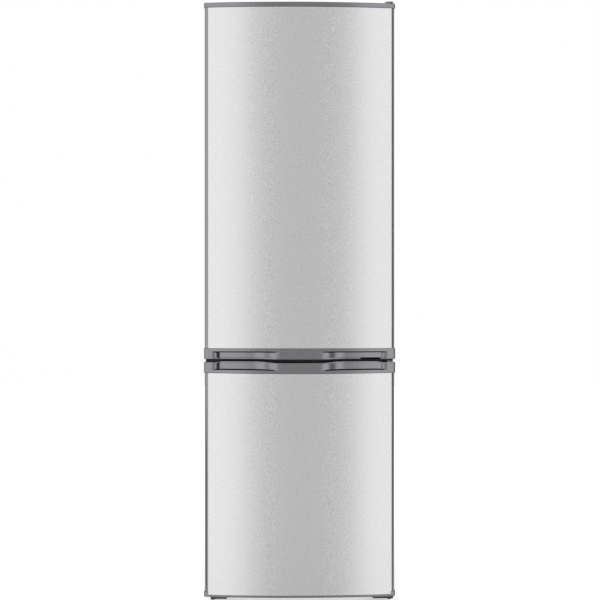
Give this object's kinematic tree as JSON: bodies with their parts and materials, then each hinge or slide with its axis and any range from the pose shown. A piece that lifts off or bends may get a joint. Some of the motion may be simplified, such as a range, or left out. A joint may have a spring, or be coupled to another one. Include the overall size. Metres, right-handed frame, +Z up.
{
  "type": "refrigerator",
  "caption": "Tall free-standing fridge-freezer: two bowed silver doors hung on the right, recessed grey grip trims between them, shelves, crisper and bins above, freezer drawers below.",
  "frame": {"origin": "on the floor, in the middle of the overall width and depth", "axes": "+X to the right seen from the front, +Y to the back, +Z up; the doors face -Y"},
  "size_m": [0.549, 0.58, 1.7332],
  "materials": {
    "door_sheet": "silver metallic coat with a fine grain, satin",
    "grey_trim": "grey moulded plastic, satin",
    "case_paint": "light grey coated steel sheet",
    "rail_steel": "coated folded steel",
    "back_steel": "zinc-coated steel sheet",
    "insulation_foam": "foamed-in insulation, hidden",
    "white_liner": "white thermoformed plastic, satin gloss",
    "seal_rubber": "soft light grey seal",
    "shelf_glass": "clear toughened glass",
    "white_trim": "white moulded plastic",
    "clear_drawer": "clear tinted moulded plastic",
    "lamp_diffuser": "frosted ribbed plastic",
    "hinge_steel": "zinc-plated steel",
    "black_steel": "black coated steel",
    "black_plastic": "black moulded plastic",
    "bush_plastic": "white bearing plastic",
    "black_rubber": "black rubber",
    "white_wire": "white coated steel tube and wire",
    "copper": "bare copper tube"
  },
  "bodies": {
    "cabinet": {"back_panel": "back_steel", "base_pan": "rail_steel", "bottom_hinge": "black_steel", "cabinet_foam": "insulation_foam", "compressor": "black_steel", "compressor_grommets": "black_rubber", "compressor_relay_box": "black_plastic", "condenser": "black_steel", "condenser_clips": "white_trim", "control_housing": "white_trim", "crisper_cover": "shelf_glass", "crisper_drawer": "clear_drawer", "divider_rail": "black_steel", "evaporation_tray": "black_plastic", "evaporator_shelf_1": "white_wire", "evaporator_shelf_2": "white_wire", "filter_drier": "copper", "foot_brackets": "black_steel", "freezer_drawer_1": "clear_drawer", "freezer_drawer_2": "clear_drawer", "freezer_drawer_3": "clear_drawer", "freezer_liner": "white_liner", "fridge_liner": "white_liner", "front_rail": "rail_steel", "glass_shelf_1": "shelf_glass", "glass_shelf_2": "shelf_glass", "glass_shelf_3": "shelf_glass", "hinge_cover": "grey_trim", "hinge_screws": "hinge_steel", "lamp_cover": "lamp_diffuser", "middle_hinge": "black_steel", "outer_case": "case_paint", "refrigerant_pipes": "copper", "shelf_trims": "white_trim", "top_hinge": "hinge_steel"},
    "upper_door": {"door_bin_1": "clear_drawer", "door_bin_2": "clear_drawer", "door_bin_3": "clear_drawer", "upper_door_bushes": "bush_plastic", "upper_door_foam": "insulation_foam", "upper_door_gasket": "seal_rubber", "upper_door_handle": "grey_trim", "upper_door_liner": "white_liner", "upper_door_side_trims": "grey_trim", "upper_door_skin": "door_sheet", "upper_door_top_cap": "grey_trim"},
    "lower_door": {"lower_door_bottom_cap": "grey_trim", "lower_door_bushes": "bush_plastic", "lower_door_foam": "insulation_foam", "lower_door_gasket": "seal_rubber", "lower_door_handle": "grey_trim", "lower_door_liner": "white_liner", "lower_door_side_trims": "grey_trim", "lower_door_skin": "door_sheet"},
    "thermostat_knob": {"thermostat_knob": "white_trim"},
    "door_switch_button": {"door_switch_button": "white_trim"},
    "left_front_foot": {"left_front_foot": "black_plastic"},
    "right_front_foot": {"right_front_foot": "black_plastic"},
    "left_rear_roller": {"left_rear_roller": "black_plastic"},
    "right_rear_roller": {"right_rear_roller": "black_plastic"}
  },
  "joints": [
    {"name": "upper_door_hinge", "type": "hinge", "parent": "cabinet", "child": "upper_door", "pos_m": [0.259, -0.2485, 1.2], "axis": [0, 0, 1], "range_deg": [0, 120]},
    {"name": "lower_door_hinge", "type": "hinge", "parent": "cabinet", "child": "lower_door", "pos_m": [0.259, -0.2485, 0.36], "axis": [0, 0, 1], "range_deg": [0, 120]},
    {"name": "thermostat_turn", "type": "hinge", "parent": "cabinet", "child": "thermostat_knob", "pos_m": [0.1875, -0.116, 1.575], "axis": [1, 0, 0], "range_deg": [0, 270]},
    {"name": "door_switch_slide", "type": "slide", "parent": "cabinet", "child": "door_switch_button", "axis": [0, -1, 0], "range_m": [0, 0.006]},
    {"name": "left_foot_turn", "type": "hinge", "parent": "cabinet", "child": "left_front_foot", "pos_m": [-0.23, -0.175, 0], "axis": [0, 0, 1], "continuous": true},
    {"name": "right_foot_turn", "type": "hinge", "parent": "cabinet", "child": "right_front_foot", "pos_m": [0.23, -0.175, 0], "axis": [0, 0, 1], "continuous": true},
    {"name": "left_roller_spin", "type": "hinge", "parent": "cabinet", "child": "left_rear_roller", "pos_m": [-0.2245, 0.214, 0.013], "axis": [1, 0, 0], "continuous": true},
    {"name": "right_roller_spin", "type": "hinge", "parent": "cabinet", "child": "right_rear_roller", "pos_m": [0.2245, 0.214, 0.013], "axis": [1, 0, 0], "continuous": true}
  ],
  "couplings": [
    {"joint": "door_switch_slide", "follows": "upper_door_hinge", "m_per_rad": 0.00286}
  ]
}
